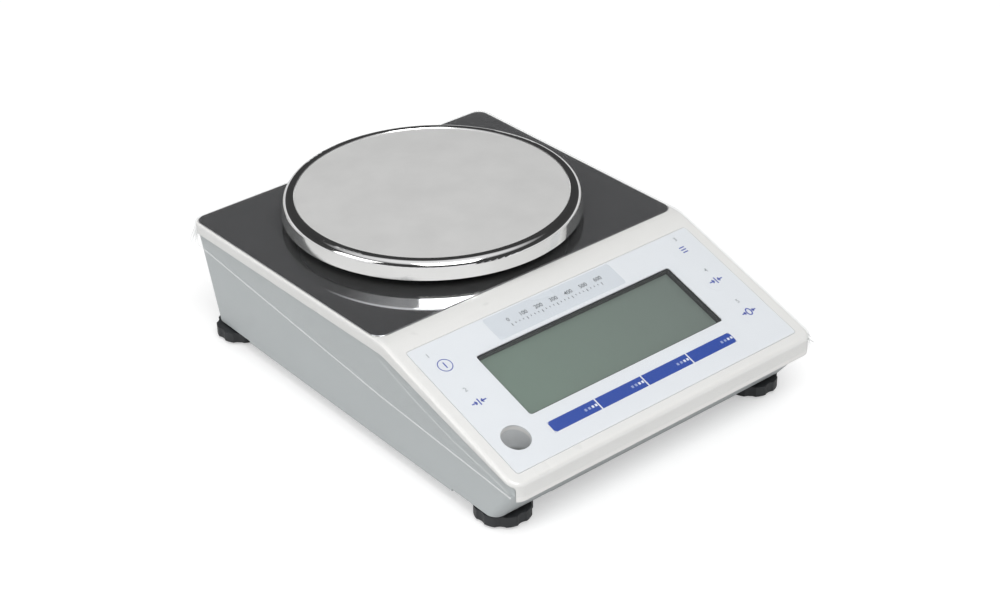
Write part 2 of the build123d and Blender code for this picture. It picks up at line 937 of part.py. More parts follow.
def foot_knob(place):
    """The scalloped knob that is turned by hand to level the balance."""
    knob = rod(knob_radius, foot_pad_height, knob_top)
    scallop_place = knob_radius - knob_scallop_depth + knob_scallop_radius
    for index in range(knob_scallops):
        angle = math.radians(360 / knob_scallops * index)
        spot = (scallop_place * math.cos(angle), scallop_place * math.sin(angle))
        knob -= rod(knob_scallop_radius, foot_pad_height, knob_top, spot)
    knob -= rod(stud_radius, 0, knob_top)
    knob -= hex_rod(stud_head_radius, foot_pad_height, foot_pad_height + stud_head_height)
    return Location((place[0], place[1], 0)) * knob


def foot_stud(place):
    """The screwed stud with a hexagon head held in the knob."""
    head = hex_rod(stud_head_radius, foot_pad_height, foot_pad_height + stud_head_height, place)
    return head + rod(stud_radius, foot_pad_height + stud_head_height, stud_height, place)


def insert_blank(place):
    """The outer form of a threaded insert, a hexagon bar."""
    return hex_rod(insert_radius, knob_room, foot_boss_top, place)


def foot_inserts():
    """The brass inserts in the tray that the studs screw into."""
    bore = stud_radius + thread_fit
    places = foot_places.values()
    return group([insert_blank(place) - rod(bore, knob_room, foot_boss_top, place) for place in places])


def case_screws():
    """The screws that hold the shell down on the tray."""
    pieces = []
    for place in screw_points:
        seat = screw_split_height - screw_ledge
        head = hex_rod(screw_head_radius, seat - screw_head_height, seat, place)
        pieces.append(head + hex_rod(screw_radius, seat, seat + screw_length, place))
    return group(pieces)


def small_screw(length):
    """A board screw standing on its head at the origin."""
    head = hex_rod(board_screw_head_radius, -board_screw_head_height, 0)
    return head + hex_rod(board_screw_radius, 0, length)


def board_screws():
    """The screws of the display board, the main board and the sensor's bridge."""
    pieces = []
    for place in display_board_points():
        seat = Location((place[0], place[1], board_top - board_thickness))
        pieces.append(panel.location * seat * small_screw(board_screw_length))
    for place in main_board_points():
        seat = Location((place[0], place[1], main_board_height + board_thickness), (180, 0, 0))
        pieces.append(seat * small_screw(board_screw_length))
    for place in bridge_points():
        seat = Location((place[0], place[1], bridge_bottom + bridge_thickness), (180, 0, 0))
        pieces.append(seat * small_screw(bridge_thickness + bridge_pad_height / 2))
    return group(pieces)


def main_board():
    """The main circuit board on its posts, with its processor and its ribbon socket."""
    centre = (main_board_centre, main_board_rear() - main_board_length / 2)
    top = main_board_height + board_thickness
    board = slab(main_board_width, main_board_length, main_board_height, top, centre)
    chip = slab(chip_width, chip_width, top, top + chip_height, centre)
    for place in main_board_points():
        board -= hex_rod(board_screw_radius + screw_fit, main_board_height, top, place)
    return board + chip


def ribbon_cable():
    """The flat cable from the main board up to the display board, with a plug at each end."""
    front = main_board_rear() - main_board_length
    start = (front + ribbon_plug_length, main_board_height + board_thickness)
    board_underside = board_top - board_thickness
    upper_place = (main_board_centre, display_board_length / 2 - 3 * ribbon_plug_length)
    lower_place = (main_board_centre, start[0])
    under_board = panel.from_local_coords(Vector(*upper_place, board_underside))
    lower_plug = slab(
        ribbon_width, ribbon_plug_length, start[1], start[1] + ribbon_plug_height, lower_place
    )
    upper_plug = panel_cut(
        ribbon_width,
        ribbon_plug_length,
        board_underside,
        board_underside - ribbon_plug_height,
        upper_place,
    )
    path_start = (start[0] - ribbon_plug_length / 4, start[1] + ribbon_plug_height / 2)
    normal = (-math.sin(slope), math.cos(slope))
    path_end = (
        under_board.Y - normal[0] * ribbon_plug_height / 2,
        under_board.Z - normal[1] * ribbon_plug_height / 2,
    )
    side = (path_end[0] - path_start[0], path_end[1] - path_start[1])
    length = math.hypot(*side)
    across = (-side[1] / length * ribbon_thickness / 2, side[0] / length * ribbon_thickness / 2)
    strip = side_prism(
        [
            (path_start[0] + across[0], path_start[1] + across[1]),
            (path_end[0] + across[0], path_end[1] + across[1]),
            (path_end[0] - across[0], path_end[1] - across[1]),
            (path_start[0] - across[0], path_start[1] - across[1]),
        ],
        half_width=ribbon_width / 2 - ribbon_thickness,
    )
    return Location((main_board_centre, 0, 0)) * strip + lower_plug + upper_plug


def power_jack():
    """The low-voltage inlet, a round socket with its centre pin."""
    face = rear_wall_outside(port_height)
    body = Location((jack_centre, face - jack_length / 2, port_height)) * Box(
        jack_width, jack_length, jack_height
    )
    hole = Cylinder(jack_hole_radius, jack_hole_depth, rotation=(90, 0, 0))
    body -= Location((jack_centre, face - jack_hole_depth / 2, port_height)) * hole
    pin = Cylinder(jack_pin_radius, jack_hole_depth, rotation=(90, 0, 0))
    return body + Location((jack_centre, face - jack_hole_depth / 2, port_height)) * pin


def port_outline(shrink):
    """The D-shaped outline of the serial socket."""
    half = port_shell_width / 2 - shrink
    tall = port_shell_height / 2 - shrink
    lean = port_shell_height * math.tan(math.radians(port_shell_lean))
    outline = Polyline((-half, tall), (half, tall), (half - lean, -tall), (-half + lean, -tall), close=True)
    return fillet(make_face(outline).vertices(), port_shell_corner)


def port_seat():
    """Where the serial socket's flange stops, just behind the leaning rear wall."""
    return rear_wall_outside(port_height - port_flange_height / 2) - tray_wall


def serial_port():
    """The serial socket: a flange behind the wall and a D-shaped shell through it."""
    inside = port_seat() - port_flange_thickness
    back = inside - port_body_depth
    flange = Location((port_centre, inside + port_flange_thickness / 2, port_height)) * Box(
        port_flange_width, port_flange_thickness, port_flange_height
    )
    for side in (-1, 1):
        hole = Cylinder(port_screw_radius, 4 * port_flange_thickness, rotation=(90, 0, 0))
        flange -= Location((port_centre + side * port_screw_spacing / 2, inside, port_height)) * hole
    facing = Plane(origin=(port_centre, inside, port_height), x_dir=(-1, 0, 0), z_dir=(0, 1, 0))
    reach = port_flange_thickness + tray_wall + port_shell_reach
    shell = extrude(facing * port_outline(0), amount=reach)
    hollow = extrude(facing * port_outline(port_shell_wall), amount=reach)
    shell -= Location((0, port_flange_thickness, 0)) * hollow
    body = Location((port_centre, (inside + back) / 2, port_height)) * Box(
        port_shell_width, port_body_depth, port_shell_height
    )
    return flange + shell + body


def port_pins():
    """The insulator in the serial socket with its two rows of pins."""
    facing = Plane(origin=(port_centre, port_seat(), port_height), x_dir=(-1, 0, 0), z_dir=(0, 1, 0))
    insulator = extrude(facing * port_outline(port_shell_wall), amount=port_pin_floor)
    for count, row in ((5, 1), (4, -1)):
        for index in range(count):
            spot = ((index - (count - 1) / 2) * port_pin_pitch, row * port_pin_pitch / 2)
            top = port_pin_floor + port_pin_length
            insulator += facing.location * slab(port_pin_width, port_pin_width, port_pin_floor, top, spot)
    return insulator


def port_screws():
    """The two hexagon posts that hold the serial socket to the wall."""
    pieces = []
    for side in (-1, 1):
        facing = Plane(
            origin=(port_centre + side * port_screw_spacing / 2, port_seat(), port_height),
            x_dir=(1, 0, 0),
            z_dir=(0, 1, 0),
        )
        nut = extrude(facing * RegularPolygon(port_nut_radius, 6), amount=tray_wall + port_nut_height)
        shank = extrude(facing * Circle(port_screw_radius), amount=-2 * port_flange_thickness)
        pieces.append(nut + shank)
    return group(pieces)


parts = {
    "lower_case": lower_case(),
    "upper_case": upper_case(),
    "top_plate": top_plate(),
    "clear_cover": clear_cover(),
    "weighing_pan": weighing_pan(),
    "pan_support": pan_support(),
    "pan_cushions": pan_cushions(),
    "load_arm": load_arm(),
    "force_sensor": force_sensor(),
    "tuning_fork": tuning_fork(),
    "sensor_bridge": sensor_bridge(),
    "overload_stops": overload_stops(),
    "panel_sheet": panel_sheet(),
    "display_window": display_window(),
    "display_frame": display_frame(),
    "display_glass": display_glass(),
    "display_backlight": display_backlight(),
    "display_board": display_board(),
    "key_domes": key_domes(),
    "level_well": level_well(),
    "level_vial": level_vial(),
    "level_liquid": level_liquid(),
    "foot_inserts": foot_inserts(),
    "case_screws": case_screws(),
    "board_screws": board_screws(),
    "main_board": main_board(),
    "ribbon_cable": ribbon_cable(),
    "power_jack": power_jack(),
    "serial_port": serial_port(),
    "port_pins": port_pins(),
    "port_screws": port_screws(),
}
for name, place in round_key_points().items():
    parts[name] = round_key(place)
for name, place in bar_key_points().items():
    parts[name] = bar_key(place)
for corner, place in foot_places.items():
    parts[f"foot_pad_{corner}"] = foot_pad(place)
    parts[f"foot_knob_{corner}"] = foot_knob(place)
    parts[f"foot_stud_{corner}"] = foot_stud(place)

for name, piece in parts.items():
    export_step(piece, f"parts/{name}.step")
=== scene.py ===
import json
import math

import bpy
from mathutils import Matrix, Vector


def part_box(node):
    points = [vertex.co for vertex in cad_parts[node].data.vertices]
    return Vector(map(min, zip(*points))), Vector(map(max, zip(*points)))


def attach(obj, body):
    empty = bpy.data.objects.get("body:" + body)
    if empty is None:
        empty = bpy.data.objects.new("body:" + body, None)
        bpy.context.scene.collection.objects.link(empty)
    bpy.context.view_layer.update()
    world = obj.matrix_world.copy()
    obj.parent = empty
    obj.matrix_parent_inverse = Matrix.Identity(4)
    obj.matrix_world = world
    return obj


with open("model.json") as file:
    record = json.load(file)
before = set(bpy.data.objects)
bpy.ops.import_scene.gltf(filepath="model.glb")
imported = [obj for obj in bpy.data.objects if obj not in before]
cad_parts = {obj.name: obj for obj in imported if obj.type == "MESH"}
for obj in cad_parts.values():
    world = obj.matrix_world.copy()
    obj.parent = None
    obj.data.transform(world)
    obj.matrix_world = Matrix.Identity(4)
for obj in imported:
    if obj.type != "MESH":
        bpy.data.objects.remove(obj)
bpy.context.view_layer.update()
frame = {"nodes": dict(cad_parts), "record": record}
nodes = frame["nodes"]

# Sizes are in metres and angles in radians, but prints and the cover's lines are in millimetres.
# The panel's own frame has X to the right, Y up the slope and Z out of its surface, with its origin
# on the surface at the middle of the printed sheet.
MM = 0.001
PANEL_SLOPE = math.radians(18.3)

# The camera's focus is in pixels of the image's width.
IMAGE_WIDTH = 1000
SENSOR_WIDTH = 36.0
CAMERA_PLACE = Vector((-0.52642, -0.64000, 0.53011))
CAMERA_FOCUS = 2114.1
CAMERA_AZIMUTH = math.radians(-39.6124)
CAMERA_ELEVATION = math.radians(30.9822)
CAMERA_ROLL = math.radians(-1.0685)

# Each stop of the studio is the sine of the elevation and the brightness there.
STUDIO_STOPS = ((0.00, 0.95), (0.10, 0.95), (0.19, 0.055), (0.74, 0.04), (0.88, 0.75), (1.0, 0.95))
STUDIO_BLUE = 1.02
SKY_STRENGTH = 0.64
LAMP_AIM = (0, 0, 0.04)

FLOOR_REACH = 6.0
FLOOR_DROP = 0.0002
FLOOR_TONE = 0.66
FLOOR_GLOW = 0.42
FLOOR_GLOW_MIRRORED = 0.1


def linear(red, green, blue):
    """A display colour from 0 to 255 as linear light, with full alpha."""
    values = []
    for value in (red, green, blue):
        share = value / 255
        values.append(share / 12.92 if share <= 0.04045 else ((share + 0.055) / 1.055) ** 2.4)
    return (*values, 1.0)


# Camera, floor and light


def add_camera():
    """The photograph's viewpoint, found from the straight edges and circles of the object."""
    back = Vector((
        math.sin(CAMERA_AZIMUTH) * math.cos(CAMERA_ELEVATION),
        -math.cos(CAMERA_AZIMUTH) * math.cos(CAMERA_ELEVATION),
        math.sin(CAMERA_ELEVATION),
    ))
    level_right = (-back).cross(Vector((0, 0, 1))).normalized()
    level_up = level_right.cross(-back)
    right = math.cos(CAMERA_ROLL) * level_right + math.sin(CAMERA_ROLL) * level_up
    up = math.cos(CAMERA_ROLL) * level_up - math.sin(CAMERA_ROLL) * level_right
    data = bpy.data.cameras.new("camera")
    data.sensor_width = SENSOR_WIDTH
    data.lens = CAMERA_FOCUS / IMAGE_WIDTH * SENSOR_WIDTH
    data.clip_start = 0.01
    camera = bpy.data.objects.new("camera", data)
    bpy.context.scene.collection.objects.link(camera)
    turn = Matrix((right, up, back)).transposed().to_4x4()
    camera.matrix_world = Matrix.Translation(CAMERA_PLACE) @ turn
    bpy.context.scene.camera = camera


def node_of(tree, kind, **settings):
    """A new shader node with its settings."""
    node = tree.nodes.new(kind)
    for name, value in settings.items():
        setattr(node, name, value)
    return node


def add_lamp(name, place, size, power):
    """A square soft white lamp that points at the object."""
    data = bpy.data.lights.new(name, "AREA")
    data.size = size
    data.energy = power
    lamp = bpy.data.objects.new(name, data)
    bpy.context.scene.collection.objects.link(lamp)
    direction = Vector(LAMP_AIM) - Vector(place)
    lamp.rotation_euler = direction.to_track_quat("-Z", "Y").to_euler()
    lamp.location = place


def add_world():
    """A white background, a studio for mirrored rays and a soft sky for plain light.

    The studio is white at the horizon and below, dark above it and bright overhead.
    """
    world = bpy.data.worlds.new("studio")
    bpy.context.scene.world = world
    world.use_nodes = True
    tree = world.node_tree
    tree.nodes.clear()
    out = node_of(tree, "ShaderNodeOutputWorld")
    path = node_of(tree, "ShaderNodeLightPath")
    coordinates = node_of(tree, "ShaderNodeTexCoord")
    split = node_of(tree, "ShaderNodeSeparateXYZ")
    tree.links.new(coordinates.outputs["Generated"], split.inputs[0])
    ramp = node_of(tree, "ShaderNodeValToRGB")
    elements = ramp.color_ramp.elements
    while len(elements) < len(STUDIO_STOPS):
        elements.new(0.5)
    for element, (place, value) in zip(elements, STUDIO_STOPS):
        element.position = place
        element.color = (value, value, value * STUDIO_BLUE, 1)
    tree.links.new(split.outputs["Z"], ramp.inputs[0])
    studio = node_of(tree, "ShaderNodeBackground")
    tree.links.new(ramp.outputs[0], studio.inputs["Color"])
    sky = node_of(tree, "ShaderNodeBackground")
    sky.inputs["Color"].default_value = (1, 1, 1, 1)
    sky.inputs["Strength"].default_value = SKY_STRENGTH
    white = node_of(tree, "ShaderNodeBackground")
    white.inputs["Color"].default_value = (1, 1, 1, 1)
    either = node_of(tree, "ShaderNodeMath", operation="MAXIMUM")
    tree.links.new(path.outputs["Is Glossy Ray"], either.inputs[0])
    tree.links.new(path.outputs["Is Transmission Ray"], either.inputs[1])
    unseen = node_of(tree, "ShaderNodeMixShader")
    tree.links.new(either.outputs[0], unseen.inputs[0])
    tree.links.new(sky.outputs[0], unseen.inputs[1])
    tree.links.new(studio.outputs[0], unseen.inputs[2])
    whole = node_of(tree, "ShaderNodeMixShader")
    tree.links.new(path.outputs["Is Camera Ray"], whole.inputs[0])
    tree.links.new(unseen.outputs[0], whole.inputs[1])
    tree.links.new(white.outputs[0], whole.inputs[2])
    tree.links.new(whole.outputs[0], out.inputs["Surface"])


def add_floor():
    """A wide floor, white where it is lit, that keeps the object's shadow.

    It also glows a little where it is seen, and less where it is mirrored.
    """
    mesh = bpy.data.meshes.new("floor")
    turns = ((-1, -1), (1, -1), (1, 1), (-1, 1))
    corners = [(x * FLOOR_REACH, y * FLOOR_REACH, 0) for x, y in turns]
    mesh.from_pydata(corners, [], [(0, 1, 2, 3)])
    floor = bpy.data.objects.new("floor", mesh)
    bpy.context.scene.collection.objects.link(floor)
    floor.location.z = -FLOOR_DROP
    material = bpy.data.materials.new("floor")
    material.use_nodes = True
    tree = material.node_tree
    tree.nodes.clear()
    out = node_of(tree, "ShaderNodeOutputMaterial")
    path = node_of(tree, "ShaderNodeLightPath")
    diffuse = node_of(tree, "ShaderNodeBsdfDiffuse")
    diffuse.inputs["Color"].default_value = (FLOOR_TONE, FLOOR_TONE, FLOOR_TONE, 1)
    glow = node_of(tree, "ShaderNodeEmission")
    mirrored = node_of(tree, "ShaderNodeMath", operation="MULTIPLY")
    mirrored.inputs[1].default_value = FLOOR_GLOW_MIRRORED
    tree.links.new(path.outputs["Is Glossy Ray"], mirrored.inputs[0])
    seen = node_of(tree, "ShaderNodeMath", operation="ADD")
    tree.links.new(path.outputs["Is Camera Ray"], seen.inputs[0])
    tree.links.new(mirrored.outputs[0], seen.inputs[1])
    also = node_of(tree, "ShaderNodeMath", operation="ADD", use_clamp=True)
    tree.links.new(seen.outputs[0], also.inputs[0])
    tree.links.new(path.outputs["Is Transmission Ray"], also.inputs[1])
    level = node_of(tree, "ShaderNodeMath", operation="MULTIPLY")
    level.inputs[1].default_value = FLOOR_GLOW
    tree.links.new(also.outputs[0], level.inputs[0])
    tree.links.new(level.outputs[0], glow.inputs["Strength"])
    both = node_of(tree, "ShaderNodeAddShader")
    tree.links.new(diffuse.outputs[0], both.inputs[0])
    tree.links.new(glow.outputs[0], both.inputs[1])
    tree.links.new(both.outputs[0], out.inputs["Surface"])
    mesh.materials.append(material)


add_camera()
add_world()
add_floor()
add_lamp("key_lamp", (-0.35, -0.75, 1.25), size=0.9, power=11.5)
add_lamp("side_lamp", (-1.3, 0.25, 0.75), size=0.8, power=4.6)
bpy.context.scene.view_settings.view_transform = "Standard"


# Materials

NOISE_MIDDLE = (0.3, 0.7)


class Surface:
    """A material with the shader at hand and short ways to add procedural detail."""

    def __init__(self, name, colour, roughness=0.4, metallic=0.0, **sockets):
        self.material = bpy.data.materials.new(name)
        self.material.use_nodes = True
        self.tree = self.material.node_tree
        self.shader = self.tree.nodes["Principled BSDF"]
        self.name = name
        self.colour = colour
        self.shader.inputs["Base Color"].default_value = colour
        self.shader.inputs["Roughness"].default_value = roughness
        self.shader.inputs["Metallic"].default_value = metallic
        for socket, value in sockets.items():
            self.shader.inputs[socket.replace("_", " ")].default_value = value
        self.roughness = roughness
        self.place = node_of(self.tree, "ShaderNodeTexCoord").outputs["Object"]
        self.height = None
        self.tint = None

    def feed(self, source, socket):
        """Gives one of the shader's sockets its value from another node."""
        self.tree.links.new(source, self.shader.inputs[socket])

    def noise(self, scale, detail=3.0, stretch=None):
        """Noise with features of about one over scale metres."""
        texture = node_of(self.tree, "ShaderNodeTexNoise")
        texture.inputs["Scale"].default_value = scale
        texture.inputs["Detail"].default_value = detail
        source = self.place
        if stretch:
            mapping = node_of(self.tree, "ShaderNodeMapping")
            mapping.inputs["Scale"].default_value = stretch
            self.tree.links.new(source, mapping.inputs["Vector"])
            source = mapping.outputs[0]
        self.tree.links.new(source, texture.inputs["Vector"])
        return texture.outputs["Fac"]

    def remap(self, source, span, low, high):
        """A value that goes from low to high while the source goes through its span."""
        node = node_of(self.tree, "ShaderNodeMapRange")
        node.inputs["From Min"].default_value = span[0]
        node.inputs["From Max"].default_value = span[1]
        node.inputs["To Min"].default_value = low
        node.inputs["To Max"].default_value = high
        self.tree.links.new(source, node.inputs["Value"])
        return node.outputs["Result"]

    def spread(self, source, low, high):
        """The noise's middle part stretched over a range."""
        return self.remap(source, NOISE_MIDDLE, low, high)

    def vary_roughness(self, scale, amount, **kind):
        """Uneven gloss, as of handling and moulding."""
        value = self.spread(self.noise(scale, **kind), self.roughness - amount, self.roughness + amount)
        self.feed(value, "Roughness")

    def vary_colour(self, scale, amount):
        """A slight drift of the colour's depth."""
        share = self.spread(self.noise(scale), 0.0, 1.0)
        mix = node_of(self.tree, "ShaderNodeMix", data_type="RGBA")
        self.tree.links.new(share, mix.inputs["Factor"])
        dark = [value * (1 - amount) for value in self.colour[:3]]
        light = [min(value * (1 + amount), 1.0) for value in self.colour[:3]]
        mix.inputs["A"].default_value = (*dark, 1)
        mix.inputs["B"].default_value = (*light, 1)
        self.tint = mix.outputs["Result"]
        self.feed(self.tint, "Base Color")

    def soften(self, radius):
        """Shades the sharp edges as if they were rounded by a small radius."""
        node = node_of(self.tree, "ShaderNodeBevel", samples=4)
        node.inputs["Radius"].default_value = radius
        self.height = node.outputs["Normal"]
        self.feed(self.height, "Normal")

    def bump(self, source, strength, distance):
        """Raises the surface by a texture, on top of any earlier bump."""
        node = node_of(self.tree, "ShaderNodeBump")
        node.inputs["Strength"].default_value = strength
        node.inputs["Distance"].default_value = distance
        self.tree.links.new(source, node.inputs["Height"])
        if self.height is not None:
            self.tree.links.new(self.height, node.inputs["Normal"])
        self.height = node.outputs["Normal"]
        self.feed(self.height, "Normal")


def moulded(name, colour, roughness, grain=2200, grain_depth=0.00002, coat=0.0, edge=0.0):
    """Moulded plastic with a fine spark-eroded grain, uneven gloss and, if asked, softened edges."""
    surface = Surface(name, colour, roughness, Coat_Weight=coat, Coat_Roughness=0.08)
    if edge > 0:
        surface.soften(edge)
    surface.vary_colour(14, 0.012)
    surface.vary_roughness(35, 0.04)
    surface.bump(surface.noise(grain, detail=2.0), 0.25, grain_depth)
    return surface


def metal(name, colour, roughness, stretch=None, scale=900, depth=0.00001):
    """Bare or plated metal with fine marks of its making."""
    surface = Surface(name, colour, roughness, metallic=1.0)
    surface.vary_colour(60, 0.03)
    surface.vary_roughness(scale * 0.3, roughness * 0.25, stretch=stretch)
    surface.bump(surface.noise(scale, stretch=stretch), 0.2, depth)
    return surface


def make_clear(name, colour, roughness, body):
    """Clear plastic: see-through, with its reflections and a faint body that grows at its edges."""
    surface = Surface(name, colour, 0.5)
    surface.vary_colour(40, 0.03)
    surface.bump(surface.noise(28, detail=2.0), 0.12, 0.0002)
    tree = surface.tree
    clear = node_of(tree, "ShaderNodeBsdfTransparent")
    clear.inputs["Color"].default_value = (0.99, 0.992, 0.992, 1)
    gloss = node_of(tree, "ShaderNodeBsdfGlossy")
    gloss.inputs["Roughness"].default_value = roughness
    tree.links.new(surface.height, gloss.inputs["Normal"])
    grazing = node_of(tree, "ShaderNodeLayerWeight")
    grazing.inputs["Blend"].default_value = 0.25
    sharp = node_of(tree, "ShaderNodeMath", operation="POWER")
    sharp.inputs[1].default_value = 3.0
    tree.links.new(grazing.outputs["Facing"], sharp.inputs[0])
    cloudy = node_of(tree, "ShaderNodeMixShader")
    tree.links.new(surface.remap(sharp.outputs[0], (0, 1), body, 0.5), cloudy.inputs[0])
    tree.links.new(clear.outputs[0], cloudy.inputs[1])
    tree.links.new(surface.shader.outputs[0], cloudy.inputs[2])
    whole = node_of(tree, "ShaderNodeMixShader")
    tree.links.new(surface.remap(sharp.outputs[0], (0, 1), 0.02, 0.7), whole.inputs[0])
    tree.links.new(cloudy.outputs[0], whole.inputs[1])
    tree.links.new(gloss.outputs[0], whole.inputs[2])
    out = next(node for node in tree.nodes if node.type == "OUTPUT_MATERIAL")
    tree.links.new(whole.outputs[0], out.inputs["Surface"])
    return surface


# The pan's floor gives way to its polished edge between these radii.
PAN_STEP = (63.3 * MM, 63.9 * MM)
PAN_SATIN = 0.32
PAN_POLISH = 0.09
PAN_FLOOR_METALLIC = 0.38
# Painted shade: a near-black colour for the pan's downward faces, standing in for the shade under the
# pan.
PAN_UNDERSIDE_SHADE = (0.03, 0.03, 0.03, 1)


def pan_finish():
    """Satin steel on the pan's floor, polished on its rolled edge and skirt, with painted shade on its
    downward faces.
    """
    surface = metal("pan_steel", (0.83, 0.83, 0.82, 1), PAN_SATIN, scale=700, depth=0.000002)
    tree = surface.tree
    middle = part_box("weighing_pan")
    centre = [(low + high) / 2 for low, high in zip(*middle)]
    away = node_of(tree, "ShaderNodeVectorMath", operation="SUBTRACT")
    tree.links.new(surface.place, away.inputs[0])
    away.inputs[1].default_value = centre
    flat = node_of(tree, "ShaderNodeVectorMath", operation="MULTIPLY")
    flat.inputs[1].default_value = (1, 1, 0)
    tree.links.new(away.outputs[0], flat.inputs[0])
    length = node_of(tree, "ShaderNodeVectorMath", operation="LENGTH")
    tree.links.new(flat.outputs[0], length.inputs[0])
    radius = length.outputs["Value"]
    total = node_of(tree, "ShaderNodeMath", operation="ADD")
    tree.links.new(surface.remap(radius, PAN_STEP, PAN_SATIN, PAN_POLISH), total.inputs[0])
    tree.links.new(surface.spread(surface.noise(90), -0.03, 0.03), total.inputs[1])
    surface.feed(total.outputs[0], "Roughness")
    surface.feed(surface.remap(radius, PAN_STEP, PAN_FLOOR_METALLIC, 1.0), "Metallic")
    # Painted shade: faces that point down take the near-black colour, as the shade under the pan.
    facing = node_of(tree, "ShaderNodeNewGeometry")
    split = node_of(tree, "ShaderNodeSeparateXYZ")
    tree.links.new(facing.outputs["True Normal"], split.inputs[0])
    below = node_of(tree, "ShaderNodeMath", operation="LESS_THAN")
    below.inputs[1].default_value = -0.5
    tree.links.new(split.outputs["Z"], below.inputs[0])
    underside_shade_mix = node_of(tree, "ShaderNodeMix", data_type="RGBA")
    underside_shade_mix.inputs["B"].default_value = PAN_UNDERSIDE_SHADE
    tree.links.new(below.outputs[0], underside_shade_mix.inputs["Factor"])
    tree.links.new(surface.tint, underside_shade_mix.inputs["A"])
    surface.feed(underside_shade_mix.outputs["Result"], "Base Color")
    return surface


DISPLAY_HALF_WIDTH = 56 * MM


def display_finish():
    """The display's grey-green glass, greener towards its left, with a faint speckle."""
    surface = moulded("display_glass", linear(124, 137, 129), 0.35, grain=4000, grain_depth=0.000004)
    tree = surface.tree
    split = node_of(tree, "ShaderNodeSeparateXYZ")
    tree.links.new(surface.place, split.inputs[0])
    span = (-DISPLAY_HALF_WIDTH, DISPLAY_HALF_WIDTH)
    mix = node_of(tree, "ShaderNodeMix", data_type="RGBA")
    mix.inputs["A"].default_value = linear(118, 138, 125)
    mix.inputs["B"].default_value = linear(118, 130, 123)
    tree.links.new(surface.remap(split.outputs["X"], span, 0.0, 1.0), mix.inputs["Factor"])
    speckle = node_of(tree, "ShaderNodeMix", data_type="RGBA", blend_type="MULTIPLY")
    speckle.inputs["Factor"].default_value = 0.08
    tree.links.new(mix.outputs["Result"], speckle.inputs["A"])
    value = surface.spread(surface.noise(1800, detail=1.0), 0.6, 1.0)
    grey = node_of(tree, "ShaderNodeCombineColor")
    for channel in ("Red", "Green", "Blue"):
        tree.links.new(value, grey.inputs[channel])
    tree.links.new(grey.outputs[0], speckle.inputs["B"])
    surface.feed(speckle.outputs["Result"], "Base Color")
    return surface


def liquid_finish():
    """The level's clear grey liquid."""
    surface = Surface("level_liquid", linear(112, 122, 132), 0.05, Transmission_Weight=0.35, IOR=1.36)
    surface.vary_colour(300, 0.05)
    return surface


def make_materials():
    """Every material by name: the record's slots, then the inks and other finishes of the scene."""
    sheet = {"colour": linear(224, 227, 231), "roughness": 0.34, "grain": 3200, "grain_depth": 0.000012}
    surfaces = (
        moulded("shell_plastic", linear(228, 227, 225), 0.3, grain=900, coat=0.25, edge=0.0003),
        moulded("tray_plastic", linear(180, 185, 186), 0.46, grain_depth=0.00004, edge=0.0005),
        moulded("foot_plastic", linear(44, 46, 48), 0.45, grain=1600, grain_depth=0.00005, edge=0.0006),
        moulded("dark_plastic", linear(38, 40, 42), 0.42),
        moulded("ribbon_plastic", linear(190, 192, 194), 0.5),
        moulded("printed_sheet", **sheet),
        moulded("panel_key", **sheet),
        moulded("blue_key", **{**sheet, "colour": linear(22, 66, 160)}),
        metal("mirror_steel", (0.74, 0.74, 0.76, 1), 0.03, scale=300, depth=0.000001),
        pan_finish(),
        metal("cast_alloy", (0.62, 0.63, 0.64, 1), 0.5, scale=1400, depth=0.00006),
        metal("machined_alloy", (0.74, 0.75, 0.77, 1), 0.28, stretch=(1, 12, 12)),
        metal("plated_steel", (0.68, 0.68, 0.67, 1), 0.22),
        metal("brass_insert", (0.72, 0.55, 0.25, 1), 0.25),
        moulded("black_rubber", linear(34, 35, 36), 0.7, grain=1300, grain_depth=0.00006),
        moulded("circuit_board", linear(30, 92, 52), 0.35, grain=500),
        display_finish(),
        moulded("display_backlight", linear(226, 230, 222), 0.4),
        make_clear("clear_window", linear(240, 246, 244), 0.02, 0.004),
        make_clear("clear_film", linear(246, 247, 247), 0.06, 0.006),
        liquid_finish(),
        moulded("blue_ink", linear(52, 74, 168), 0.4),
        moulded("grey_ink", linear(150, 156, 160), 0.4),
        moulded("dark_ink", linear(84, 88, 92), 0.4),
        moulded("white_ink", linear(225, 230, 240), 0.4),
        moulded("dim_ink", linear(150, 165, 205), 0.4),
        # Painted highlight: a cloudy white film for the light lines along the cover's rim and crease.
        make_clear("film_edge_highlight", linear(250, 250, 250), 0.1, 0.55),
        moulded("label_film", linear(210, 215, 221), 0.25, grain=2600, grain_depth=0.00001),
        moulded("well_plastic", linear(205, 207, 208), 0.4),
    )
    return {surface.name: surface.material for surface in surfaces}


# The level's well is light inside, unlike the other pieces of its slot.
SLOT_OVERRIDES = {"level_well": "well_plastic"}
materials = make_materials()
for subpart in frame["record"]["subparts"]:
    node = nodes[subpart["node"]]
    node.data.materials.clear()
    slot = SLOT_OVERRIDES.get(subpart["node"], subpart["material_slot"])
    node.data.materials.append(materials[slot])


def new_object(name, points, faces, finish):
    """A new mesh in the scene with its finish."""
    mesh = bpy.data.meshes.new(name)
    mesh.from_pydata(points, [], faces)
    mesh.materials.append(materials[finish])
    made = bpy.data.objects.new(name, mesh)
    bpy.context.scene.collection.objects.link(made)
    return made


# Prints on the panel, drawn in the panel's own frame

PANEL_RIGHT = Vector((1, 0, 0))
PANEL_UP = Vector((0, math.cos(PANEL_SLOPE), math.sin(PANEL_SLOPE)))
PANEL_OUT = Vector((0, -math.sin(PANEL_SLOPE), math.cos(PANEL_SLOPE)))
SHEET_THICKNESS = 0.5 * MM
CAP_DEPTH = 0.1 * MM
INK_HEIGHT = 0.04 * MM
LABEL_HEIGHT = 0.03 * MM
LABEL_INK_HEIGHT = 0.07 * MM
WEB_HEIGHT = -0.02 * MM

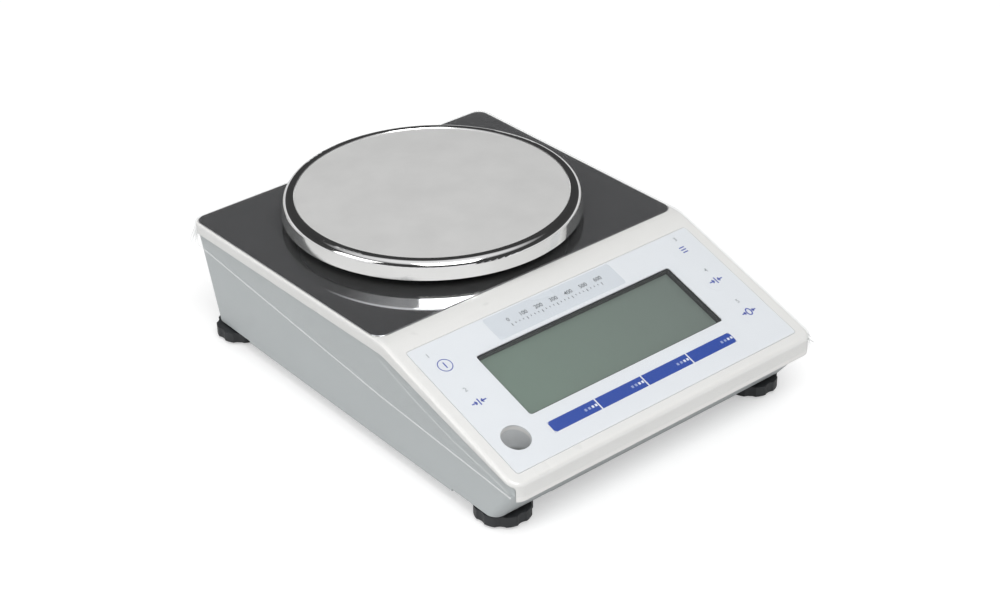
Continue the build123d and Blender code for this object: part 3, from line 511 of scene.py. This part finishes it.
# Sizes of the keys and their signs, in millimetres
ROUND_KEYS = ("key_power", "key_tare_left", "key_tare_right", "key_menu", "key_zero")
ROUND_KEY_RADIUS = 6.4
BAR_KEY_COUNT = 4
BAR_KEY_WIDTH = 25.8
BAR_KEY_HEIGHT = 5.9
BAR_END_RADIUS = 1.3
KEY_GAP = 0.1
WEB_OVERLAP = 0.01
STROKE = 0.6
THIN_STROKE = 0.42
FIGURE_SHARE = 0.7
FIGURE_WEIGHT = 0.02
CAPTION_HEIGHT = 2.3
MARK_WIDTH = 1.1
MARK_HEIGHT = 1.3
MARK_PLACES = {"dim_ink": (6.65, 4.6), "white_ink": (2.65, 0.85)}

# The label strip above the display, in millimetres but for its place
LABEL_PLACE = (-4.1 * MM, 30.1 * MM)
LABEL_HALF_WIDTH = 36.6
LABEL_HALF_HEIGHT = 6.7
LABEL_CORNER = 1.2
SCALE_LENGTH = 52
SCALE_SPACES = 24
FIGURE_SPACES = 6
TICK_TOP = -1.0
TICK_WIDTH = 0.36
LONG_TICK = 1.6
SHORT_TICK = 0.9
SCALE_FIGURE_HEIGHT = 2.1
SCALE_FIGURE_LIFT = 1.6

ARC_STEPS = 6
sheet_low, sheet_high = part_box("panel_sheet")
panel_middle = (Vector(sheet_low) + Vector(sheet_high)) / 2 + PANEL_OUT * SHEET_THICKNESS / 2


def panel_place(name):
    """The middle of a key's cap in the panel's frame, as metres across and up."""
    across, up = [], []
    for vertex in nodes[name].data.vertices:
        spot = vertex.co - panel_middle
        if abs(spot.dot(PANEL_OUT)) < CAP_DEPTH:
            across.append(spot.dot(PANEL_RIGHT))
            up.append(spot.dot(PANEL_UP))
    return (min(across) + max(across)) / 2, (min(up) + max(up)) / 2


def quarter_arc(centre, radius, start=0, flip=(1, 1)):
    """Points along a quarter circle from a start angle in degrees, mirrored where flip is negative."""
    points = []
    for step in range(ARC_STEPS + 1):
        angle = math.radians(start + 90 / ARC_STEPS * step)
        points.append((
            centre[0] + flip[0] * radius * math.cos(angle),
            centre[1] + flip[1] * radius * math.sin(angle),
        ))
    return points


class Print:
    """Flat shapes of one ink, in millimetres round a place on the panel."""

    def __init__(self, place):
        self.place = place
        self.points = []
        self.faces = []

    def polygon(self, outline):
        """A filled outline."""
        first = len(self.points)
        self.points.extend(outline)
        self.faces.append(tuple(range(first, first + len(outline))))

    def stroke(self, start, end, width):
        """A straight stroke with square ends."""
        along = Vector(end) - Vector(start)
        side = Vector((-along.y, along.x)).normalized() * width / 2
        corners = [Vector(start) - side, Vector(end) - side, Vector(end) + side, Vector(start) + side]
        self.polygon([(corner.x, corner.y) for corner in corners])

    def ring(self, radius, width, squeeze=1.0, steps=40):
        """A ring, narrower across where squeeze is under one."""
        outer = radius + width
        inwards = outer * (1 - squeeze)
        for index in range(steps):
            corners = []
            for size, turn in ((radius, index), (outer, index), (outer, index + 1), (radius, index + 1)):
                angle = 2 * math.pi * turn / steps
                corners.append(((size - inwards) * math.cos(angle), size * math.sin(angle)))
            self.polygon(corners)

    def arrow(self, tip, length, width):
        """A short level arrow to its tip, which points along -X where the length is negative."""
        side = math.copysign(1, length)
        head = 0.36 * abs(length)
        self.stroke((tip[0] - length, tip[1]), (tip[0] - side * width / 2, tip[1]), width)
        for lift in (-1, 1):
            self.stroke((tip[0] - side * head, tip[1] + lift * head), tip, width)

    def numeral(self, text, height):
        """Plain figures in the default typeface, centred on the place."""
        curve = bpy.data.curves.new("figures", "FONT")
        curve.body = text
        curve.size = height / FIGURE_SHARE
        curve.align_x = "CENTER"
        curve.resolution_u = 3
        curve.offset = FIGURE_WEIGHT
        holder = bpy.data.objects.new("figures", curve)
        mesh = bpy.data.meshes.new_from_object(holder)
        first = len(self.points)
        self.points.extend((vertex.co.x, vertex.co.y - height / 2) for vertex in mesh.vertices)
        self.faces.extend(tuple(first + index for index in face.vertices) for face in mesh.polygons)
        bpy.data.objects.remove(holder)
        bpy.data.curves.remove(curve)

    def shift(self, move):
        """Moves everything drawn so far."""
        self.points = [(x + move[0], y + move[1]) for x, y in self.points]

    def join(self, other):
        """Takes in the shapes of another print."""
        first = len(self.points)
        self.points.extend(other.points)
        self.faces.extend(tuple(first + index for index in face) for face in other.faces)

    def build(self, name, ink, body, height=INK_HEIGHT):
        """The mesh on the panel, carried by a body."""
        base = panel_middle + PANEL_OUT * height
        places = [
            base + PANEL_RIGHT * (self.place[0] + x * MM) + PANEL_UP * (self.place[1] + y * MM)
            for x, y in self.points
        ]
        printed = new_object(name, places, self.faces, ink)
        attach(printed, body)


def power_sign(key):
    """A ring with an upright bar."""
    sign = Print(panel_place(key))
    sign.ring(3.1, THIN_STROKE)
    sign.stroke((0, -1.7), (0, 1.7), STROKE)
    sign.build("sign_power", "blue_ink", key)


def tare_sign(key, name):
    """Two arrows that meet at an upright bar."""
    sign = Print(panel_place(key))
    sign.stroke((0, -1.9), (0, 1.9), STROKE)
    sign.arrow((-1.1, 0), 2.7, STROKE)
    sign.arrow((1.1, 0), -2.7, STROKE)
    sign.build(name, "blue_ink", key)


def zero_sign(key):
    """Two arrows that meet at a nought."""
    sign = Print(panel_place(key))
    sign.ring(1.6, STROKE, squeeze=0.72)
    sign.arrow((-1.9, 0), 2.1, STROKE)
    sign.arrow((1.9, 0), -2.1, STROKE)
    sign.build("sign_zero", "blue_ink", key)


def menu_sign(key):
    """Three level bars, as for a list."""
    sign = Print(panel_place(key))
    for lift in (-1.5, 0, 1.5):
        sign.stroke((-1.5, lift), (1.5, lift), STROKE)
    sign.build("sign_menu", "blue_ink", key)


def caption(key, text, shift):
    """A plain figure beside a key, in pale grey."""
    figure = Print(panel_place(key))
    figure.numeral(text, CAPTION_HEIGHT)
    figure.shift(shift)
    figure.build(f"caption_{text}", "grey_ink", "case")


def bar_marks(key, number):
    """Four small marks near the right end of a bar key, the left two dimmer."""
    right_end = BAR_KEY_WIDTH / 2
    for tone, places in MARK_PLACES.items():
        marks = Print(panel_place(key))
        for place in places:
            middle = right_end - place
            marks.stroke((middle - MARK_WIDTH / 2, 0), (middle + MARK_WIDTH / 2, 0), MARK_HEIGHT)
        marks.build(f"marks_{number}_{tone}", tone, key)


def round_web(key):
    """The film that bridges the thin gap round a round key, just under the surface."""
    web = Print(panel_place(key))
    web.ring(ROUND_KEY_RADIUS, KEY_GAP + WEB_OVERLAP, steps=64)
    web.build(f"web_{key}", "panel_key", key, height=WEB_HEIGHT)


def bar_web(key):
    """The film that bridges the thin gap round a bar key, just under the surface."""
    web = Print(panel_place(key))
    half, tall = BAR_KEY_WIDTH / 2, BAR_KEY_HEIGHT / 2
    for side in (-1, 1):
        level, across = side * (tall + KEY_GAP / 2), side * (half + KEY_GAP / 2)
        web.stroke((-half - KEY_GAP, level), (half + KEY_GAP, level), KEY_GAP)
        web.stroke((across, -tall), (across, tall), KEY_GAP)
    web.build(f"web_{key}", "blue_key", key, height=WEB_HEIGHT)


def label_strip():
    """A pale label above the display with a plain scale: ticks and round figures."""
    across, tall = LABEL_HALF_WIDTH - LABEL_CORNER, LABEL_HALF_HEIGHT - LABEL_CORNER
    outline = []
    for index, centre in enumerate(((across, tall), (-across, tall), (-across, -tall), (across, -tall))):
        outline += quarter_arc(centre, LABEL_CORNER, start=90 * index)
    film = Print(LABEL_PLACE)
    film.polygon(outline)
    film.build("label_film", "label_film", "case", height=LABEL_HEIGHT)
    ticks = Print(LABEL_PLACE)
    for index in range(SCALE_SPACES + 1):
        reach = LONG_TICK if index % (SCALE_SPACES // FIGURE_SPACES) == 0 else SHORT_TICK
        place = -SCALE_LENGTH / 2 + index * SCALE_LENGTH / SCALE_SPACES
        ticks.stroke((place, TICK_TOP), (place, TICK_TOP - reach), TICK_WIDTH)
    for index in range(FIGURE_SPACES + 1):
        figure = Print(LABEL_PLACE)
        figure.numeral(str(index * 100), SCALE_FIGURE_HEIGHT)
        figure.shift((-SCALE_LENGTH / 2 + index * SCALE_LENGTH / FIGURE_SPACES, SCALE_FIGURE_LIFT))
        ticks.join(figure)
    ticks.build("label_scale", "dark_ink", "case", height=LABEL_INK_HEIGHT)


def bar_end(key, side):
    """Sheet-coloured corners that round off the outer end of the row of bar keys."""
    half, tall = BAR_KEY_WIDTH / 2, BAR_KEY_HEIGHT / 2
    ends = Print(panel_place(key))
    for lift in (-1, 1):
        centre = (side * (half - BAR_END_RADIUS), lift * (tall - BAR_END_RADIUS))
        arc = quarter_arc(centre, BAR_END_RADIUS, flip=(side, lift))
        ends.polygon([(side * half, lift * tall)] + arc)
    ends.build(f"bar_end_{key}", "panel_key", key)


# The level's mark and the lines on the cover, whose light tone is a painted highlight

LEVEL_MARK_STEPS = 40
LEVEL_MARK_RADII = (2.6 * MM, 2.95 * MM)
LEVEL_MARK_LIFT = 0.02 * MM

# The cover's painted highlight lines as places along Y and heights, in millimetres
COVER_RIM = ((108.0, 49.8), (-30.5, 33.9), (-115.5, 27.1))
COVER_RIM_WIDTH = 0.7
COVER_CREASE = ((-30.0, 52.8), (-52.5, 44.4), (-78.0, 36.6), (-98.5, 32.6), (-114.0, 29.0))
COVER_CREASE_WIDTH = 0.35
COVER_STAND_OFF = 1.32 * MM


def level_mark():
    """The ring on the level's glass that the bubble is brought into."""
    low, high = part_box("level_vial")
    centre = ((low[0] + high[0]) / 2, (low[1] + high[1]) / 2)
    points, faces = [], []
    for step in range(LEVEL_MARK_STEPS):
        angle = 2 * math.pi * step / LEVEL_MARK_STEPS
        for radius in LEVEL_MARK_RADII:
            points.append((
                centre[0] + radius * math.cos(angle),
                centre[1] + radius * math.sin(angle),
                high[2] + LEVEL_MARK_LIFT,
            ))
        first, second = 2 * step, 2 * ((step + 1) % LEVEL_MARK_STEPS)
        faces.append((first, first + 1, second + 1, second))
    mark = new_object("level_mark", points, faces, "dark_plastic")
    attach(mark, "case")


def cover_highlight_line(name, route, width, side):
    """A whitish strip down one side of the clear cover where the film is folded or cut: the edge is
    real, its light tone a painted highlight.
    """
    low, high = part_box("upper_case")
    across = side * ((high[0] - low[0]) / 2 + COVER_STAND_OFF)
    points = []
    for along, height in route:
        points.append((across, along * MM, (height - width / 2) * MM))
        points.append((across, along * MM, (height + width / 2) * MM))
    faces = [(first, first + 2, first + 3, first + 1) for first in range(0, len(points) - 2, 2)]
    line = new_object(name, points, faces, "film_edge_highlight")
    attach(line, "case")


for side, label in ((-1, "left"), (1, "right")):
    cover_highlight_line(f"cover_rim_{label}", COVER_RIM, COVER_RIM_WIDTH, side)
    cover_highlight_line(f"cover_crease_{label}", COVER_CREASE, COVER_CREASE_WIDTH, side)
level_mark()
bar_end("key_function_1", -1)
bar_end("key_function_4", 1)
power_sign("key_power")
tare_sign("key_tare_left", "sign_tare_left")
tare_sign("key_tare_right", "sign_tare_right")
menu_sign("key_menu")
zero_sign("key_zero")
caption("key_power", "1", (-3.4, 7.8))
caption("key_tare_left", "2", (-1.0, 8.2))
caption("key_menu", "3", (0.9, 7.0))
caption("key_tare_right", "4", (0.2, 7.2))
caption("key_zero", "5", (-0.1, 7.5))
for number in range(1, BAR_KEY_COUNT + 1):
    bar_marks(f"key_function_{number}", number)
    bar_web(f"key_function_{number}")
for key in ROUND_KEYS:
    round_web(key)
label_strip()
